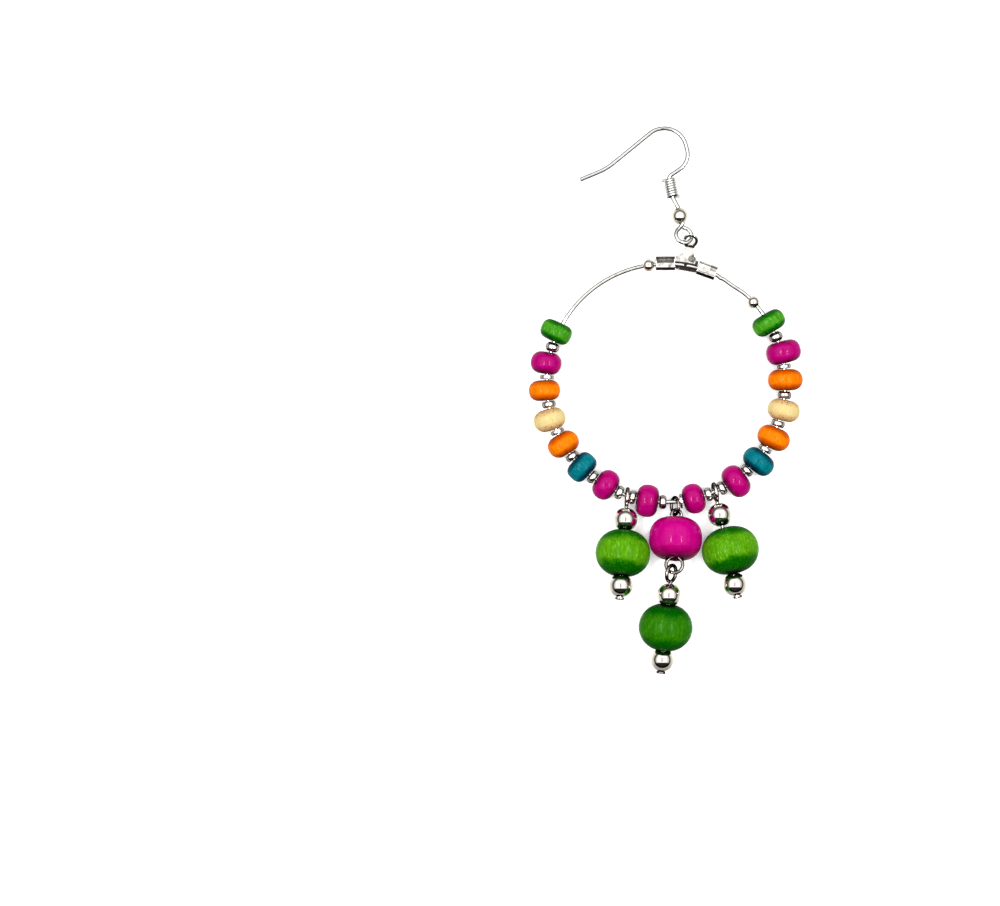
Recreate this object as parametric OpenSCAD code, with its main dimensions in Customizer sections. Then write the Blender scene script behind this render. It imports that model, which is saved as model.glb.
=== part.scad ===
// Beaded hoop earring, lying flat on its back with the ear hook at the far end.
// X runs across the hoop, Y towards the ear hook and Z up. The beads rest on Z = 0.

/* [Hoop] */
// Radius of the hoop, to the middle of its wire
hoop_radius = 19.85; // [19.7:0.05:20.1]
// Radius of the hoop wire
hoop_wire = 0.325; // [0.25:0.025:0.35]
// Height of the hoop wire above the surface that the earring lies on
hoop_height = 3.0; // [2.9:0.05:3.05]
// Radius of the two round stoppers on the bare stretch of the hoop
stopper_radius = 1.05; // [0.9:0.05:1.1]

/* [Rondelles and spacers] */
// Radius of the hole through a rondelle
rondelle_hole = 1.0; // [0.98:0.01:1.05]
// Radius of the silver spacers at their belly
spacer_radius = 1.18; // [1:0.02:1.2]
// Length of the spacers on each side of a drop
spacer_length = 1.15; // [0.9:0.05:1.15]
// Gap between neighbours on the hoop
string_gap = 0.15; // [0.15:0.01:0.2]

/* [Drops] */
// Radius of the wire of the head pins and their loops
pin_wire = 0.325; // [0.25:0.025:0.33]
// Radius of a turned loop, to the middle of its wire
loop_radius = 1.37; // [1.3:0.01:1.4]
// Radius of the silver balls above and below the big beads
ball_radius = 2.0; // [1.9:0.05:2.0]
// Radius of the flat head at the end of a head pin
pin_head_radius = 0.75; // [0.7:0.05:1.1]
// Radius of the hole mouths in the big beads
bead_hole = 1.35; // [1.3:0.01:1.38]

/* [Connector] */
// Thickness of the stamped sheet
sheet = 0.32; // [0.25:0.01:0.34]
// Radius of the connector's ring
ring_radius = 1.25; // [1.2:0.01:1.3]
// Radius of the hole in the connector's ring
ring_hole = 0.75; // [0.7:0.01:0.78]
// Tilt of the ring against the plate, in degrees
ring_tilt = 32; // [28:1:36]

/* [Ear hook] */
// Radius of the ear wire
hook_wire = 0.325; // [0.25:0.025:0.33]
// Radius of the ball on the ear wire
hook_ball_radius = 1.38; // [1.2:0.02:1.38]
// Outer radius of the coil on the ear wire
coil_radius = 1.03; // [1:0.01:1.05]
// Number of turns in the coil
coil_turns = 7; // [5:1:7]

/* [Hidden] */
$fn = 48;
clearance = 0.08;
// Bends and straights of a wire stand this far apart, and a thinner core joins them
joint = 0.004;
core_reach = 0.08;
core_share = 0.5;

// Place of the middle of the hoop, which centres the whole earring on the origin
hoop_middle = [-0.14, 2.84, 0];
degrees_per_mm = 180 / (PI * hoop_radius);

// Rondelles in order along the wire: colour, angle on the hoop, diameter, thickness,
// how far they hang outside the wire and their turn against it
rondelles = [
    ["green", 155, 5.3, 3.3, 0.35, 0],
    ["magenta", 170.5, 5.25, 3.7, 0.42, 0],
    ["orange", 183.5, 5.3, 3.4, 0.45, 0],
    ["natural", 197.5, 5.45, 3.6, 0.5, 0],
    ["orange", 210.8, 5.4, 3.6, 0.06, 0],
    ["teal", 225, 5.2, 3.5, -0.05, 3],
    ["magenta", 239.5, 5.25, 3.7, -0.15, -4],
    ["magenta", 261, 5.5, 3.7, 0.02, 0],
    ["magenta", 283.5, 5.1, 3.7, -0.05, 3],
    ["magenta", 305.5, 5.7, 3.7, 0.26, 0],
    ["teal", 319.7, 5.6, 3.5, 0.38, 2],
    ["orange", 333, 5.65, 3.6, 0.3, 3],
    ["natural", 347, 5.5, 3.5, 0.31, 0],
    ["orange", 361.5, 5.85, 3.5, 0.04, 0],
    ["magenta", 374.7, 5.9, 3.7, 0.4, 0],
    ["green", 390.3, 5.7, 3.3, 0, 0],
];
// Gaps that each hold a drop between two spacers: the rondelle before it, counted from 0,
// and the lengths of the two spacers
thin_spacer_length = 0.36;
drop_gaps = [
    [6, spacer_length, spacer_length],
    [7, spacer_length, thin_spacer_length],
    [8, spacer_length, spacer_length],
];
// Smallest radius of the rounded side of a spacer, seen in its section
spacer_side = 0.75;

// Drops that hang on a head pin, with the origin on the pin, level with the middle of the
// big bead: x, y, height of the pin, half length of the bead, lean and tilt of the pin,
// turn of the loop, the distance along the pin to the upper ball, the lower ball and the
// loop, and how far the bead's middle is above the pin and beside it
left_drop = [-7.2, -28.3, 4.6, 3.95, -4.4, -9.3, 91, 5.69, 5.49, 9.42, 0, 0];
right_drop = [10.25, -27.98, 4.6, 3.85, 11.9, -8.8, -82, 6.23, 5.7, 10.12, 0.2, 0.44];
tail_drop = [-0.1, -40.69, 4.5, 3.95, -5.8, 7.8, 56, 5.47, 5.47, 9.12, 0, 0];

// The middle bead on its eye pin: x, y, bead radius, half length, lean and tilt
middle_drop = [1.55, -25.9, 4.45, 3.6, -2.8, -12];
middle_hole = 1.55;
eye_wire = 0.3;
upper_eye_radius = 0.97;
upper_eye_at = 3.884;
upper_eye_turn = 31;
lower_eye_radius = 1.38;
lower_eye_at = 4.45;
lower_eye_turn = 6;

// Jump ring between the hoop and the eye pin
jump_ring_at = [1.504, -20.482, 3.233];
jump_ring_radius = 1.43;
jump_ring_wire = 0.27;
jump_ring_turn = -67;

// Turned loop: radius of its neck bend and the angle where its end stops
neck_bend = 0.6;
loop_end = 242;
joint_angle = 0.2;

// Stoppers and connector, by their angle on the hoop
stopper_angles = [98.5, 42.8];
connector_angle = 80.2;
wire_gap_angle = 1;
tab_angle = 10.1;
tab_length = 3.2;
tab_back = 1.05;
tab_front = 1.25;
tab_inset = 0.75;
plate_half = 3.4;
plate_back = 0.85;
plate_front = 0.95;
neck_half = 0.85;
neck_fillet = 1.8;
neck_spread = 2.1;
neck_rise = 2.91;
neck_reach = 3.47;
ring_reach = 1.3;

// Ear wire: the tilted plane that it lies in, and its route from the ball to its free end
hook_lift = 3.487;
hook_slope_x = 0.051;
hook_slope_y = -0.0713;
hook_ball_at = [2.33, 27.88, 1.99];
hook_loop_reach = 3.33;
hook_loop_lean = 191;
hook_loop_tilt = 20;
hook_loop_turn = 160;
hook_stem = 1.5;
hook_stem_bend = 0.8;
// Corners of the route: x, y and the radius of the bend there
hook_corners = [
    [1.2, 30.9, 1.5],
    [0.53, 34.5, 0.6],
    [4.12, 36.87, 3.07],
    [2.65, 42.55, 3.65],
    [-1.6, 42.55, 3.65],
    [-9.92, 35.78, 10],
    [-14.28, 33.97, 0],
];
coil_wire = 0.23;
coil_start = 0.28;
coil_end = 0.1;
coil_tail_length = 1.3;

// Bead colours by name
function paint(name) =
    name == "green" ? "#3f9a16" :
    name == "magenta" ? "#c8127a" :
    name == "orange" ? "#e8720c" :
    name == "teal" ? "#12718a" : "#f0dcae";

function unit(v) = v / norm(v);
function xyz(p) = [p[0], p[1], p[2]];
function heading(route, i) = unit(xyz(route[i + 1]) - xyz(route[i]));
function turn(route, i) = acos(min(1, max(-1, heading(route, i - 1) * heading(route, i))));
function is_end(route, i) = i == 0 || i == len(route) - 1;
function setback(route, i) = is_end(route, i) ? 0 : route[i][3] * tan(turn(route, i) / 2);

// Angle on the hoop of a rondelle's faces
function half_angle(i) = rondelles[i][3] / 2 * degrees_per_mm;
function face_after(i) = rondelles[i][1] + half_angle(i) + string_gap * degrees_per_mm;
function face_before(i) = rondelles[i][1] - half_angle(i) - string_gap * degrees_per_mm;
function drop_row(i) = search(i, [for (row = drop_gaps) row[0]]);

// Spacers as their angle on the hoop and their length: one fills each plain gap,
// and two stand against the rondelles on either side of a drop
function plain_gap(i) = [[
    (face_after(i) + face_before(i + 1)) / 2,
    (face_before(i + 1) - face_after(i)) / degrees_per_mm,
]];
function split_gap(i, before, after) = [
    [face_after(i) + before / 2 * degrees_per_mm, before],
    [face_before(i + 1) - after / 2 * degrees_per_mm, after],
];
spacers = [
    for (i = [0 : len(rondelles) - 2])
        let (row = drop_row(i))
        each len(row) > 0
            ? split_gap(i, drop_gaps[row[0]][1], drop_gaps[row[0]][2])
            : plain_gap(i)
];

// Puts its child at an angle on the hoop, with the child's Y along the wire
module on_hoop(angle, reach, height) {
    translate(hoop_middle)
        rotate([0, 0, angle])
            translate([reach, 0, height])
                children();
}

// Puts its child in the frame of a drop, with Y along the pin towards its loop
module on_drop(drop) {
    translate(hoop_middle + [drop[0], drop[1], drop[2]])
        rotate([drop[5], 0, drop[4]])
            children();
}

// A drilled bead round the Y axis, whose sides are arcs of the given radius
module bored_bead(radius, half_length, arc, hole) {
    rotate([-90, 0, 0])
        rotate_extrude()
            intersection() {
                translate([radius - arc, 0]) circle(arc);
                translate([hole, -half_length]) square([radius, 2 * half_length]);
            }
}

// A straight round rod from one point to another
module rod(start, finish, radius) {
    step = finish - start;
    translate(start)
        rotate([0, acos(step[2] / norm(step)), atan2(step[1], step[0])])
            cylinder(h = norm(step), r = radius);
}

// An arc of round wire in the XY plane
module wire_arc(radius, wire, from, sweep) {
    rotate([0, 0, from])
        rotate_extrude(angle = sweep)
            translate([radius, 0]) circle(wire);
}

// The bend at one corner of a route
module wire_bend(route, i, wire) {
    along = heading(route, i - 1);
    inward = unit(heading(route, i) - (heading(route, i) * along) * along);
    normal = cross(-inward, along);
    middle = xyz(route[i]) - setback(route, i) * along + route[i][3] * inward;
    multmatrix([
        [-inward[0], along[0], normal[0], middle[0]],
        [-inward[1], along[1], normal[1], middle[1]],
        [-inward[2], along[2], normal[2], middle[2]],
        [0, 0, 0, 1],
    ])
        wire_arc(route[i][3], wire, 0, turn(route, i));
}

// Core across the joint at a point, in the direction of the wire there
module core(at, along, wire) {
    rod(at - core_reach * along, at + core_reach * along, core_share * wire);
}

// Wire along a route of corners, each given as x, y, z and the radius of its bend
module bent_wire(route, wire) {
    for (i = [0 : len(route) - 2]) {
        along = heading(route, i);
        start = xyz(route[i]) + setback(route, i) * along;
        finish = xyz(route[i + 1]) - setback(route, i + 1) * along;
        rod(start + joint * along, finish - joint * along, wire);
        core(start, along, wire);
        if (!is_end(route, i + 1)) core(finish, along, wire);
    }
    for (i = [1 : len(route) - 2])
        wire_bend(route, i, wire);
}

// A turned loop in the XY plane round the origin, with its stem along -Y
function neck_y(radius) = -sqrt(radius * radius + 2 * radius * neck_bend);
module turned_loop(radius, wire, stem) {
    neck = neck_y(radius);
    start = atan2(neck, neck_bend);
    wire_arc(radius, wire, start + joint_angle, loop_end - start - joint_angle);
    core(radius * [cos(start), sin(start), 0], [-sin(start), cos(start), 0], wire);
    translate([neck_bend, neck, 0])
        wire_arc(neck_bend, wire, start + 180, -start);
    core([0, neck, 0], [0, 1, 0], wire);
    if (stem > 0)
        translate([0, neck - joint, 0])
            rotate([90, 0, 0])
                cylinder(h = stem - joint, r = wire);
}

// Ear wire: the loop that holds the connector, the stem through the ball, and the bow
hook_away = [sin(hook_loop_lean), -cos(hook_loop_lean), 0];
hook_stem_away = [
    hook_away[0] * cos(hook_loop_tilt),
    hook_away[1] * cos(hook_loop_tilt),
    -sin(hook_loop_tilt),
];
hook_loop_at = hook_ball_at - hook_stem_away * hook_loop_reach / cos(hook_loop_tilt);
hook_stem_end = hook_ball_at + hook_stem_away * hook_stem;
function on_hook(x, y) = [x, y, hook_lift + hook_slope_x * x + hook_slope_y * y];
hook_route = concat(
    [[hook_ball_at[0], hook_ball_at[1], hook_ball_at[2], 0]],
    [[hook_stem_end[0], hook_stem_end[1], hook_stem_end[2], hook_stem_bend]],
    [for (c = hook_corners) concat(on_hook(c[0], c[1]), [c[2]])]
);
module ear_hook() {
    color("#d8dade")
        translate(hoop_middle) {
            bent_wire(hook_route, hook_wire);
            translate(hook_loop_at)
                rotate([hook_loop_tilt, 0, hook_loop_lean])
                    rotate([0, hook_loop_turn, 0])
                        turned_loop(
                            loop_radius,
                            hook_wire,
                            hook_loop_reach / cos(hook_loop_tilt) + neck_y(loop_radius)
                        );
        }
}

// Coil of thin wire round the ear wire, made of half turns that lean by turns to either
// side, with the wire's two ends sticking out below
coil_from = xyz(hook_route[3]) - coil_start * heading(hook_route, 2);
coil_to = xyz(hook_route[2]) + coil_end * heading(hook_route, 2);
coil_middle_radius = coil_radius - coil_wire;
coil_pitch = (norm(coil_to - coil_from) - 2 * coil_wire) / coil_turns;
coil_lean = atan(coil_pitch / 4 / coil_middle_radius);
coil_reach = coil_middle_radius / cos(coil_lean);
coil_last = 2 * coil_turns;
module coil_half(k) {
    is_last = k == 0 || k == coil_last;
    from = k == 0 ? 0 : k % 2 == 0 ? -90 : 90;
    wire_arc(coil_reach, coil_wire, from + joint_angle, (is_last ? 90 : 180) - 2 * joint_angle);
    if (k < coil_last)
        core([0, k % 2 == 0 ? coil_reach : -coil_reach, 0], [1, 0, 0], coil_wire);
}
module coil_tail(side) {
    rod([coil_reach, side * joint, 0], [coil_reach, side * coil_tail_length, 0], coil_wire);
    core([coil_reach, 0, 0], [0, 1, 0], coil_wire);
}
module hook_coil() {
    axis = unit(coil_to - coil_from);
    color("#e4e6ea")
        translate(hoop_middle + coil_from)
            rotate([0, acos(axis[2]), atan2(axis[1], axis[0])])
                for (k = [0 : coil_last])
                    translate([0, 0, coil_wire + coil_pitch * k / 2])
                        rotate([k % 2 == 0 ? coil_lean : -coil_lean, 0, 0]) {
                            coil_half(k);
                            if (k == 0) coil_tail(-1);
                            if (k == coil_last) coil_tail(1);
                        }
}

module hook_ball() {
    color("#e4e6ea")
        translate(hoop_middle + hook_ball_at)
            rotate([hook_loop_tilt, 0, hook_loop_lean])
                bored_bead(
                    hook_ball_radius,
                    hook_ball_radius,
                    hook_ball_radius,
                    hook_wire + clearance
                );
}

// Connector: a stamped plate under the wire, two tabs folded over it, and a tilted ring
plate_z = hoop_height - hoop_wire - clearance - sheet;
module connector_plate() {
    inner = hoop_radius - plate_back;
    outer = hoop_radius + plate_front;
    neck_top = hoop_radius + neck_reach;
    translate([0, 0, plate_z])
        linear_extrude(sheet)
            union() {
                translate([-plate_half, inner])
                    square([2 * plate_half, outer - inner]);
                difference() {
                    translate([-neck_spread, inner])
                        square([2 * neck_spread, neck_top - inner]);
                    for (side = [-1, 1])
                        translate([side * (neck_half + neck_fillet), hoop_radius + neck_rise])
                            circle(neck_fillet);
                }
            }
}

// Outline of a folded tab in the plane across the wire, as a flattened tube
function stadium(back, front, half) = concat(
    [for (a = [90 : 22.5 : 270]) [back + half + half * cos(a), half * sin(a)]],
    [for (a = [-90 : 22.5 : 90]) [front - half + half * cos(a), half * sin(a)]]
);
module folded_tab() {
    half = hoop_wire + clearance + sheet;
    translate([0, 0, hoop_height])
        rotate([90, 0, 90])
            translate([0, 0, -tab_length / 2])
                linear_extrude(tab_length)
                    difference() {
                        polygon(stadium(-tab_back, tab_front, half));
                        polygon(stadium(sheet - tab_back, tab_front - sheet, half - sheet));
                        translate([tab_front - tab_inset, sheet - half])
                            square([tab_inset, clearance]);
                    }
}
module connector_ring() {
    bend_at = hoop_radius + neck_reach - sheet;
    translate([0, bend_at, plate_z + sheet / 2])
        rotate([ring_tilt, 0, 0])
            translate([0, 0, -sheet / 2])
                difference() {
                    union() {
                        translate([0, ring_reach, 0]) cylinder(h = sheet, r = ring_radius);
                        translate([-neck_half, 0, 0]) cube([2 * neck_half, ring_reach, sheet]);
                    }
                    translate([0, ring_reach, -sheet])
                        cylinder(h = 3 * sheet, r = ring_hole);
                }
}
module connector() {
    color("#b9bbc0")
        on_hoop(connector_angle, 0, 0)
            rotate([0, 0, -90]) {
                connector_plate();
                connector_ring();
                for (side = [-1, 1])
                    rotate([0, 0, side * tab_angle])
                        translate([0, hoop_radius, 0])
                            folded_tab();
            }
}

// Spring wire hoop, open where its two ends meet inside the connector
module hoop_wire() {
    color("#9ea1a6")
        translate(hoop_middle + [0, 0, hoop_height])
            wire_arc(
                hoop_radius,
                hoop_wire,
                connector_angle + wire_gap_angle,
                360 - wire_gap_angle
            );
}

module stopper(i) {
    color("#d8dade")
        on_hoop(stopper_angles[i], hoop_radius, hoop_height)
            bored_bead(stopper_radius, stopper_radius, stopper_radius, hoop_wire + clearance);
}

module rondelle(i) {
    row = rondelles[i];
    radius = row[2] / 2;
    color(paint(row[0]))
        on_hoop(row[1], hoop_radius + row[4], radius)
            rotate([0, 0, row[5]])
                bored_bead(radius, row[3] / 2, row[3] / 2, rondelle_hole);
}

module spacer(i) {
    row = spacers[i];
    color("#e4e6ea")
        on_hoop(row[0], hoop_radius, hoop_height)
            bored_bead(
                spacer_radius,
                row[1] / 2,
                max(spacer_side, row[1] / 2),
                hoop_wire + clearance
            );
}

module jump_ring() {
    color("#8b8580")
        translate(hoop_middle + jump_ring_at)
            rotate([0, jump_ring_turn, 0])
                rotate_extrude()
                    translate([jump_ring_radius, 0]) circle(jump_ring_wire);
}

// Head pin: the loop on the hoop, the straight pin through the beads and its flat head
module head_pin(drop) {
    head_at = drop[8] + ball_radius;
    color("#8b8580")
        on_drop(drop)
            translate([0, drop[9], 0])
                rotate([0, drop[6], 0]) {
                    turned_loop(
                        loop_radius,
                        pin_wire,
                        drop[9] + neck_y(loop_radius) + head_at + pin_wire / 2
                    );
                    translate([0, -drop[9] - head_at, 0])
                        rotate([90, 0, 0])
                            cylinder(h = pin_wire, r = pin_head_radius);
                }
}

// The bead rests on the surface, so its radius is the height of its middle
module drop_bead(drop) {
    color(paint("green"))
        on_drop(drop)
            translate([drop[11], 0, drop[10]])
                bored_bead(drop[2] + drop[10], drop[3], drop[3], bead_hole);
}

module drop_ball(drop, at) {
    color("#e4e6ea")
        on_drop(drop)
            translate([0, at, 0])
                bored_bead(ball_radius, ball_radius, ball_radius, pin_wire + 2 * clearance);
}

// Eye pin: a small loop on the jump ring and a larger one for the tail drop
eye_pin_length = upper_eye_at + neck_y(upper_eye_radius)
    + lower_eye_at + neck_y(lower_eye_radius) - joint;
module eye_pin() {
    color("#8b8580")
        on_drop(middle_drop) {
            translate([0, upper_eye_at, 0])
                rotate([0, upper_eye_turn, 0])
                    turned_loop(upper_eye_radius, eye_wire, eye_pin_length);
            translate([0, -lower_eye_at, 0])
                rotate([0, lower_eye_turn, 180])
                    turned_loop(lower_eye_radius, eye_wire, 0);
        }
}

module bead_middle() {
    color(paint("magenta"))
        on_drop(middle_drop)
            bored_bead(middle_drop[2], middle_drop[3], middle_drop[3], middle_hole);
}

ear_hook();
hook_coil();
hook_ball();
connector();
hoop_wire();
stopper(0);  // stopper_1
stopper(1);  // stopper_2
jump_ring();
head_pin(left_drop);  // pin_left
head_pin(right_drop);  // pin_right
head_pin(tail_drop);  // pin_tail
eye_pin();
drop_bead(left_drop);  // bead_left
drop_bead(right_drop);  // bead_right
drop_bead(tail_drop);  // bead_tail
bead_middle();
drop_ball(left_drop, left_drop[7]);  // ball_left_upper
drop_ball(left_drop, -left_drop[8]);  // ball_left_lower
drop_ball(right_drop, right_drop[7]);  // ball_right_upper
drop_ball(right_drop, -right_drop[8]);  // ball_right_lower
drop_ball(tail_drop, tail_drop[7]);  // ball_tail_upper
drop_ball(tail_drop, -tail_drop[8]);  // ball_tail_lower
for (i = [1 : len(rondelles)])
    rondelle(i - 1);
for (i = [1 : len(spacers)])
    spacer(i - 1);
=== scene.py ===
"""Looks of a beaded hoop earring that lies on its back on white paper.

Lengths are in metres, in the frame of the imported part: X across the hoop, Y towards the
ear wire and Z up off the paper. Places come from the part's own nodes.
"""

import logging
import math
from dataclasses import dataclass
from enum import Enum

import bmesh
import bpy
import numpy as np
from mathutils import Matrix, Vector, noise


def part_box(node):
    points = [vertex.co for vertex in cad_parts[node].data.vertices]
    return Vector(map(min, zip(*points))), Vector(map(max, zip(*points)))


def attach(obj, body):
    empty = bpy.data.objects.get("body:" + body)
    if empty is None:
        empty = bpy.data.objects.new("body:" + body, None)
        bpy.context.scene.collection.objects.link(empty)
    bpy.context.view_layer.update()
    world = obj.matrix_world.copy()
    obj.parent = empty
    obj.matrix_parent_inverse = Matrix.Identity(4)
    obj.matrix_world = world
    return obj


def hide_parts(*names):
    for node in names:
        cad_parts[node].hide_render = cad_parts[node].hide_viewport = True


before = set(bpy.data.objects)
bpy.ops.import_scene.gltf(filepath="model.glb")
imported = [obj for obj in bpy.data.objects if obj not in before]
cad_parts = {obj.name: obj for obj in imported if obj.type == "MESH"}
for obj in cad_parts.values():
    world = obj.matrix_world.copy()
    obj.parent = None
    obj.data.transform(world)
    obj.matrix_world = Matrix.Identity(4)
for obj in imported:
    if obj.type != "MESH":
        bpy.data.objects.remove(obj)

LOG = logging.getLogger("earring")
MM = 0.001
ROOT = "root"
# A wire's painted shade on its sides starts to fade and ends at these upright shares of its normal.
SIDES = (0.5, 0.92)
Socket = bpy.types.NodeSocket


class Shape(Enum):
    """How square the side of a turned bead is, as the power of its curve."""

    ROUND = 2.0
    SOFT = 2.15
    SQUARE = 2.35
    DRUM = 2.6


def linear(red: int, green: int, blue: int) -> tuple:
    """Turns a screen colour, 0 to 255, into the linear one and alpha that a shader takes."""
    parts = [c / 255 for c in (red, green, blue)]
    return (*(c / 12.92 if c < 0.04 else ((c + 0.055) / 1.055) ** 2.4 for c in parts), 1.0)


@dataclass(frozen=True)
class Placed:
    """Where a turned piece sits and how large it is.

    Attributes:
        centre: Middle of the piece.
        axis: Unit vector along its hole.
        radius: Largest distance from its axis.
        half: Half of its length along the axis.
        hole: Radius of its hole.
    """

    centre: Vector
    axis: Vector
    radius: float
    half: float
    hole: float


def vertex_rows(mesh: bpy.types.Mesh, key: str) -> np.ndarray:
    """Reads a vector at each point of a mesh.

    Args:
        mesh: Mesh to read.
        key: "co" for the places or "normal" for the normals.

    Returns:
        One row of x, y and z for each point.
    """
    rows = np.empty(len(mesh.vertices) * 3)
    mesh.vertices.foreach_get(key, rows)
    return rows.reshape(-1, 3)


def node_points(node: str) -> np.ndarray:
    """Reads the corner points of a node of the part, one in a row."""
    return vertex_rows(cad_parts[node].data, "co")


def node_centre(node: str) -> Vector:
    """Gives the middle of a node's box."""
    low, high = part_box(node)
    return (Vector(low) + Vector(high)) / 2


def symmetry_axis(node: str) -> Vector:
    """Finds the axis that a turned node is round about.

    Args:
        node: Name of the node.

    Returns:
        Unit vector along the axis, pointing towards +Y.
    """
    points = node_points(node)
    spread, axes = np.linalg.eigh(np.cov((points - points.mean(axis=0)).T))
    odd = 0 if spread[1] - spread[0] > spread[2] - spread[1] else 2
    axis = Vector(axes[:, odd])
    return axis if axis.y > 0 else -axis


def measure(node: str, axis: Vector) -> Placed:
    """Measures a turned node about a known axis.

    Args:
        node: Name of the node.
        axis: Direction of its hole.

    Returns:
        The node's place and size.
    """
    axis = axis.normalized()
    centre = node_centre(node)
    offset = node_points(node) - np.array(centre)
    along = offset @ np.array(axis)
    across = np.linalg.norm(offset - np.outer(along, np.array(axis)), axis=1)
    return Placed(centre, axis, float(across.max()), float(abs(along).max()), float(across.min()))


@dataclass(frozen=True)
class Pattern:
    """A noise pattern.

    Attributes:
        scale: Cells in a millimetre.
        squeeze: Share of that scale along the grain.
        detail: Number of finer layers.
        rough: Strength of the finer layers.
    """

    scale: float
    squeeze: float = 1.0
    detail: float = 3.0
    rough: float = 0.55


class Graph:
    """A node graph, with short calls that add and join nodes."""

    def __init__(self, tree: bpy.types.NodeTree) -> None:
        """Takes up the node tree of a material or a world."""
        self.tree = tree

    def add(self, kind: str, inputs: dict | None = None, **settings: object) -> bpy.types.Node:
        """Adds a node.

        Args:
            kind: Blender's name of the node type.
            inputs: Numbers, colours, vectors or sockets for its inputs.
            **settings: Properties to set on it.

        Returns:
            The new node.
        """
        node = self.tree.nodes.new(kind)
        for key, value in settings.items():
            setattr(node, key, value)
        for key, value in (inputs or {}).items():
            self.put(node.inputs[key], value)
        return node

    def put(self, socket: Socket, value: object) -> None:
        """Gives a socket a constant or the value of another socket.

        Args:
            socket: Socket to fill.
            value: A number, a colour, a vector or a socket.
        """
        if isinstance(value, Socket):
            self.tree.links.new(value, socket)
        else:
            socket.default_value = value

    def piece_vector(self, name: str) -> Socket:
        """Reads a vector that a mesh carries at its points."""
        return self.add("ShaderNodeAttribute", attribute_name=name).outputs["Vector"]

    def piece_value(self, name: str) -> Socket:
        """Reads a number that a mesh carries at its points."""
        return self.add("ShaderNodeAttribute", attribute_name=name).outputs["Fac"]

    def millimetres(self) -> Socket:
        """Gives the place on a node of the part, in millimetres."""
        return self.scaled(self.add("ShaderNodeTexCoord").outputs["Object"], (1 / MM,) * 3)

    def scaled(self, vector: Socket, factors: tuple) -> Socket:
        """Multiplies a vector by a factor for each axis."""
        node = self.add("ShaderNodeVectorMath", {0: vector, 1: factors}, operation="MULTIPLY")
        return node.outputs["Vector"]

    def noise(self, place: Socket, pattern: Pattern) -> Socket:
        """Adds a noise pattern.

        Args:
            place: Where it is read, in millimetres.
            pattern: Its size and layers.

        Returns:
            The pattern's socket, about 0.5 on average.
        """
        if pattern.squeeze != 1.0:
            place = self.scaled(place, (1.0, pattern.squeeze, 1.0))
        return self.add("ShaderNodeTexNoise", {
            "Vector": place, "Scale": pattern.scale, "Detail": pattern.detail,
            "Roughness": pattern.rough}).outputs["Fac"]

    def ramp(self, value: Socket, low: float, high: float, start: float = 0.0,
             end: float = 1.0) -> Socket:
        """Maps a range of a value smoothly to another range.

        Args:
            value: Value to map.
            low: Value that gives start.
            high: Value that gives end.
            start: Result at low.
            end: Result at high.

        Returns:
            The mapped value's socket.
        """
        return self.add("ShaderNodeMapRange", {
            "Value": value, "From Min": low, "From Max": high, "To Min": start,
            "To Max": end}, interpolation_type="SMOOTHSTEP").outputs["Result"]

    def maths(self, operation: str, *values: object) -> Socket:
        """Adds an arithmetic node for numbers or sockets."""
        inputs = dict(enumerate(values))
        return self.add("ShaderNodeMath", inputs, operation=operation).outputs["Value"]

    def stray(self, value: Socket, pattern: Socket, reach: float) -> Socket:
        """Moves a value up and down with a pattern, by up to half of the reach."""
        return self.maths("MULTIPLY_ADD", self.maths("SUBTRACT", pattern, 0.5), reach, value)

    def mix(self, factor: object, first: object, second: object) -> Socket:
        """Mixes two colours, with the factor as the share of the second."""
        inputs = {"Factor": factor, "A": first, "B": second}
        return self.add("ShaderNodeMix", inputs, data_type="RGBA").outputs["Result"]

    def over(self, base: object, top: object, mask: Socket, strength: object) -> Socket:
        """Lays a top colour over a base where a mask says, with a strength from 0 to 1."""
        return self.mix(self.maths("MULTIPLY", mask, strength), base, top)

    def bump(self, height: Socket, depth: float, below: Socket | None = None) -> Socket:
        """Adds fine relief.

        Args:
            height: Pattern of the relief.
            depth: Its height in metres.
            below: Relief that this one lies on.

        Returns:
            The normal's socket.
        """
        inputs = {"Distance": depth, "Strength": 1.0, "Height": height}
        if below is not None:
            inputs["Normal"] = below
        return self.add("ShaderNodeBump", inputs).outputs["Normal"]


class Surface(Graph):
    """The graph of a new material."""

    def __init__(self, name: str) -> None:
        """Starts the material.

        Args:
            name: Name of the material.
        """
        self.material = bpy.data.materials.new(name)
        self.material.use_nodes = True
        super().__init__(self.material.node_tree)
        self.tree.nodes.clear()
        self.shader = self.add("ShaderNodeBsdfPrincipled")
        self.add("ShaderNodeOutputMaterial", {"Surface": self.shader.outputs["BSDF"]})

    def filled(self, inputs: dict) -> bpy.types.Material:
        """Fills inputs of the material's shader.

        Args:
            inputs: A constant or a socket for each input, by its name.

        Returns:
            The finished material.
        """
        for key, value in inputs.items():
            self.put(self.shader.inputs[key], value)
        return self.material


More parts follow.
